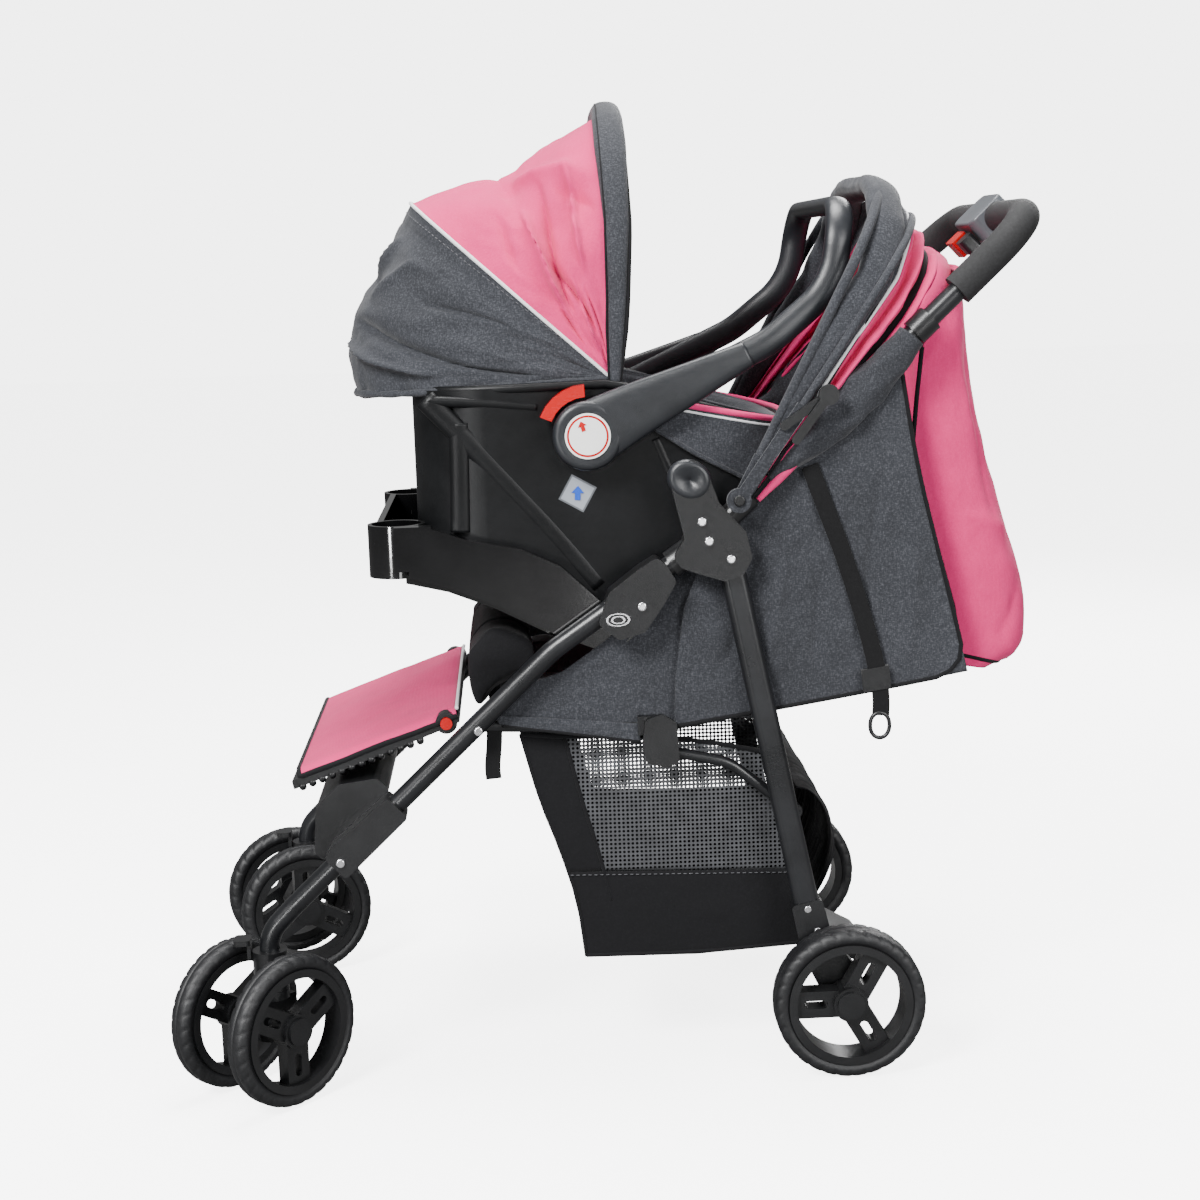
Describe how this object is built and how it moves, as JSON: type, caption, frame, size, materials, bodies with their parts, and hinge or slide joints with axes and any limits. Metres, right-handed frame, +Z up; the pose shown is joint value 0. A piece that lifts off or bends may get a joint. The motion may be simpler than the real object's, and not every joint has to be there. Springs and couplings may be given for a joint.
{
  "type": "baby stroller",
  "caption": "Folding baby stroller with swivel twin casters, recline seat, basket, folded canopy and a hooded infant car seat docked on its front tray.",
  "frame": {"origin": "on the ground, on the middle plane, midway along the wheelbase", "axes": "+Z up, +X to the stroller's left side, -Y towards the front wheels, +Y towards the push handle"},
  "size_m": [0.6212, 0.9821, 1.07],
  "materials": {
    "frame_paint": "satin powder coat",
    "axle_steel": "zinc plated",
    "rivet_steel": "polished dome",
    "black_plastic": "fine moulded grain",
    "grey_plastic": "satin",
    "tray_plastic": "high gloss",
    "shell_plastic": "blow-moulded satin grain",
    "red_plastic": "gloss",
    "rim_plastic": "moulded grain",
    "tyre_foam": "dull",
    "foam": "closed-cell foam",
    "pink_fabric": "plain-weave polyester",
    "grey_fabric": "melange plain weave",
    "black_fabric": "plain weave and mesh",
    "webbing": "ribbed webbing"
  },
  "bodies": {
    "frame": {"front_leg_left": "frame_paint", "front_leg_right": "frame_paint", "front_yoke": "black_plastic", "hinge_plates": "black_plastic", "frame_rivets": "rivet_steel", "tray": "tray_plastic", "tray_sockets": "black_plastic", "caster_housings": "black_plastic", "basket": "black_fabric"},
    "handle": {"handle_tube": "frame_paint", "handle_knuckles": "black_plastic", "handle_collars": "black_plastic", "foam_grips": "foam", "fold_housing": "grey_plastic", "canopy_hubs": "black_plastic", "canopy_fabric": "pink_fabric", "recline_straps": "webbing", "boot_panel": "pink_fabric"},
    "rear_frame": {"rear_legs": "frame_paint", "rear_feet": "black_plastic", "rear_axle": "axle_steel", "rear_rivets": "rivet_steel"},
    "seat_frame": {"seat_rails": "frame_paint", "seat_brackets": "black_plastic", "seat_base": "grey_fabric", "calf_panel": "grey_fabric", "seat_sides": "grey_fabric"},
    "lower_links": {"link_tubes": "frame_paint"},
    "backrest": {"backrest_frame": "frame_paint", "backrest_pad": "grey_fabric"},
    "front_bow": {"canopy_bow_front": "black_plastic"},
    "middle_bow": {"canopy_bow_middle": "black_plastic"},
    "lower_stays": {"canopy_stays_lower": "black_plastic"},
    "upper_stays": {"canopy_stays_upper": "black_plastic"},
    "footrest": {"footrest": "black_plastic"},
    "footrest_button_left": {"footrest_button_left": "red_plastic"},
    "footrest_button_right": {"footrest_button_right": "red_plastic"},
    "fold_slider": {"fold_slider": "red_plastic"},
    "fold_trigger": {"fold_trigger": "black_plastic"},
    "car_seat": {"carseat_shell": "shell_plastic", "carseat_liner": "grey_fabric", "carseat_harness": "webbing", "carseat_canopy": "grey_fabric"},
    "carry_handle": {"carry_handle": "shell_plastic"},
    "hood_bow": {"carseat_bow": "black_plastic"},
    "carry_button_left": {"carry_button_left": "red_plastic"},
    "carry_button_right": {"carry_button_right": "red_plastic"},
    "caster_left": {"caster_fork_left": "black_plastic"},
    "caster_right": {"caster_fork_right": "black_plastic"},
    "front_wheels_left": {"front_tyres_left": "tyre_foam", "front_rims_left": "rim_plastic"},
    "front_wheels_right": {"front_tyres_right": "tyre_foam", "front_rims_right": "rim_plastic"},
    "rear_wheel_left": {"rear_tyre_left": "tyre_foam", "rear_rim_left": "rim_plastic"},
    "rear_wheel_right": {"rear_tyre_right": "tyre_foam", "rear_rim_right": "rim_plastic"},
    "caster_lever_left": {"caster_lever_left": "black_plastic"},
    "caster_lever_right": {"caster_lever_right": "black_plastic"},
    "brake_pedal": {"brake_pedal": "black_plastic"}
  },
  "joints": [
    {"name": "fold", "type": "hinge", "parent": "frame", "child": "handle", "pos_m": [0, 0.11, 0.594], "axis": [1, 0, 0], "range_deg": [0, 12], "deforming": ["boot_panel", "recline_straps"]},
    {"name": "rear_leg_fold", "type": "hinge", "parent": "frame", "child": "rear_frame", "pos_m": [0, 0.133, 0.574], "axis": [1, 0, 0], "range_deg": [-6, 0]},
    {"name": "seat_fold", "type": "hinge", "parent": "frame", "child": "seat_frame", "pos_m": [0, -0.143, 0.396], "axis": [1, 0, 0], "range_deg": [0, 7.48], "deforming": ["seat_sides"]},
    {"name": "link_fold", "type": "hinge", "parent": "rear_frame", "child": "lower_links", "pos_m": [0, 0.199, 0.287], "axis": [1, 0, 0], "range_deg": [-9.4, 0]},
    {"name": "recline", "type": "hinge", "parent": "seat_frame", "child": "backrest", "pos_m": [0, 0.055, 0.387], "axis": [1, 0, 0], "range_deg": [0, 25]},
    {"name": "canopy_open", "type": "hinge", "parent": "handle", "child": "front_bow", "pos_m": [0, 0.143, 0.636], "axis": [1, 0, 0], "range_deg": [0, 35], "deforming": ["canopy_fabric"]},
    {"name": "middle_bow_turn", "type": "hinge", "parent": "handle", "child": "middle_bow", "pos_m": [0, 0.143, 0.636], "axis": [1, 0, 0], "range_deg": [0, 17.5]},
    {"name": "lower_stay_turn", "type": "hinge", "parent": "handle", "child": "lower_stays", "pos_m": [0, 0.204, 0.699], "axis": [1, 0, 0], "range_deg": [0, 53.41]},
    {"name": "upper_stay_turn", "type": "hinge", "parent": "front_bow", "child": "upper_stays", "pos_m": [0, 0.192, 0.714], "axis": [1, 0, 0], "range_deg": [-40.22, 0]},
    {"name": "footrest_tilt", "type": "hinge", "parent": "frame", "child": "footrest", "pos_m": [0, -0.178, 0.4], "axis": [-1, 0, 0], "range_deg": [0, 22]},
    {"name": "footrest_press_left", "type": "slide", "parent": "footrest", "child": "footrest_button_left", "axis": [-1, 0, 0], "range_m": [0, 0.004], "stiffness_N_per_m": 300},
    {"name": "footrest_press_right", "type": "slide", "parent": "footrest", "child": "footrest_button_right", "axis": [1, 0, 0], "range_m": [0, 0.004], "stiffness_N_per_m": 300},
    {"name": "fold_slide", "type": "slide", "parent": "handle", "child": "fold_slider", "axis": [-1, 0, 0], "range_m": [0, 0.012]},
    {"name": "fold_squeeze", "type": "slide", "parent": "handle", "child": "fold_trigger", "axis": [0, 0.7325, 0.6808], "range_m": [0, 0.0025], "stiffness_N_per_m": 400},
    {"name": "seat_lift", "type": "slide", "parent": "frame", "child": "car_seat", "axis": [0, 0, 1], "range_m": [0, 0.6]},
    {"name": "carry_turn", "type": "hinge", "parent": "car_seat", "child": "carry_handle", "pos_m": [0, -0.014, 0.708], "axis": [1, 0, 0], "range_deg": [0, 125]},
    {"name": "hood_fold", "type": "hinge", "parent": "car_seat", "child": "hood_bow", "pos_m": [0, 0.015, 0.766], "axis": [1, 0, 0], "range_deg": [0, 50], "deforming": ["carseat_canopy"]},
    {"name": "carry_press_left", "type": "slide", "parent": "carry_handle", "child": "carry_button_left", "axis": [0, 0.5879, -0.8089], "range_m": [0, 0.003], "stiffness_N_per_m": 300},
    {"name": "carry_press_right", "type": "slide", "parent": "carry_handle", "child": "carry_button_right", "axis": [0, 0.5879, -0.8089], "range_m": [0, 0.003], "stiffness_N_per_m": 300},
    {"name": "caster_swivel_left", "type": "hinge", "parent": "frame", "child": "caster_left", "pos_m": [0.218, -0.381, 0.13], "axis": [0, 0, 1], "continuous": true},
    {"name": "front_spin_left", "type": "hinge", "parent": "caster_left", "child": "front_wheels_left", "pos_m": [0.22897, -0.39123, 0.083], "axis": [0.682, 0.7314, 0], "continuous": true},
    {"name": "rear_spin_left", "type": "hinge", "parent": "rear_frame", "child": "rear_wheel_left", "pos_m": [0.25, 0.25, 0.083], "axis": [1, 0, 0], "continuous": true},
    {"name": "swivel_lock_left", "type": "hinge", "parent": "frame", "child": "caster_lever_left", "pos_m": [0.218, -0.401, 0.171], "axis": [-1, 0, 0], "range_deg": [0, 25]},
    {"name": "caster_swivel_right", "type": "hinge", "parent": "frame", "child": "caster_right", "pos_m": [-0.218, -0.381, 0.13], "axis": [0, 0, 1], "continuous": true},
    {"name": "front_spin_right", "type": "hinge", "parent": "caster_right", "child": "front_wheels_right", "pos_m": [-0.21361, -0.39535, 0.083], "axis": [-0.9563, -0.2924, 0], "continuous": true},
    {"name": "rear_spin_right", "type": "hinge", "parent": "rear_frame", "child": "rear_wheel_right", "pos_m": [-0.25, 0.25, 0.083], "axis": [1, 0, 0], "continuous": true},
    {"name": "swivel_lock_right", "type": "hinge", "parent": "frame", "child": "caster_lever_right", "pos_m": [-0.218, -0.401, 0.171], "axis": [-1, 0, 0], "range_deg": [0, 25]},
    {"name": "brake_press", "type": "hinge", "parent": "rear_frame", "child": "brake_pedal", "pos_m": [0, 0.25, 0.083], "axis": [-1, 0, 0], "range_deg": [0, 15]}
  ],
  "couplings": [
    {"joint": "rear_leg_fold", "follows": "fold", "ratio": -0.5},
    {"joint": "seat_fold", "follows": "fold", "ratio": 0.623},
    {"joint": "link_fold", "follows": "fold", "ratio": -0.783},
    {"joint": "middle_bow_turn", "follows": "canopy_open", "ratio": 0.5},
    {"joint": "lower_stay_turn", "follows": "canopy_open", "ratio": 1.526},
    {"joint": "upper_stay_turn", "follows": "canopy_open", "ratio": -1.149}
  ]
}
